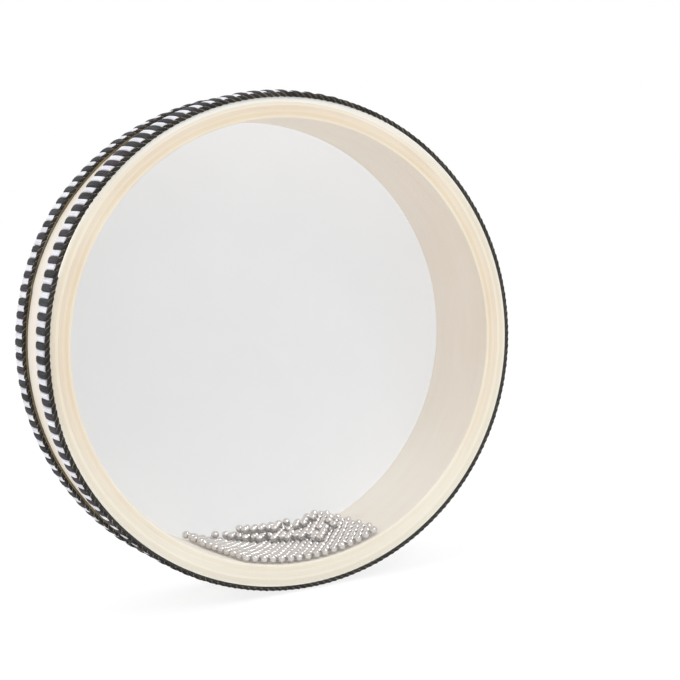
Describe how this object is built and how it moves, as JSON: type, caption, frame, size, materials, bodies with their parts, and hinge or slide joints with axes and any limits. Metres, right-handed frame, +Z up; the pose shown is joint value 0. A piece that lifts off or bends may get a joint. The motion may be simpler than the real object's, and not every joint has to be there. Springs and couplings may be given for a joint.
{
  "type": "ocean drum",
  "caption": "Hand-held ocean drum: a laminated wooden ring between a clear and a milky film head, with loose steel beads inside and braid trims round the outside.",
  "frame": {"origin": "centre of the drum, on its axis and halfway between the heads", "axes": "+Y along the drum's axis from the clear front head to the milky rear head, +Z up as the drum stands on edge, +X to the right seen from the front"},
  "size_m": [0.2602, 0.061, 0.2602],
  "materials": {
    "pale_ply": "sanded, clear",
    "tan_ply": "sanded, clear",
    "clear_film": "clear film",
    "milky_film": "satin, translucent",
    "woven_band": "woven",
    "black_yarn": "yarn",
    "white_yarn": "yarn",
    "black_cord": "twisted cord",
    "glue": "dried glue",
    "steel_beads": "polished"
  },
  "bodies": {
    "drum": {"outer_face_ply": "pale_ply", "core_ply_1": "tan_ply", "core_ply_2": "pale_ply", "core_ply_3": "tan_ply", "core_ply_4": "pale_ply", "core_ply_5": "tan_ply", "inner_face_ply": "pale_ply", "front_head": "clear_film", "rear_head": "milky_film", "front_head_hem": "clear_film", "rear_head_hem": "milky_film", "front_trim_band": "woven_band", "front_trim_black_wraps": "black_yarn", "front_trim_white_wraps": "white_yarn", "front_trim_edge_cord": "black_cord", "rear_trim_band": "woven_band", "rear_trim_black_wraps": "black_yarn", "rear_trim_white_wraps": "white_yarn", "rear_trim_edge_cord": "black_cord", "front_trim_glue": "glue", "rear_trim_glue": "glue"},
    "beads": {"floor_beads": "steel_beads", "second_layer_beads": "steel_beads", "third_layer_beads": "steel_beads", "stray_beads": "steel_beads"}
  },
  "joints": [
    {"name": "bead_roll", "type": "hinge", "parent": "drum", "child": "beads", "pos_m": [0, 0, 0], "axis": [0, 1, 0], "continuous": true}
  ]
}
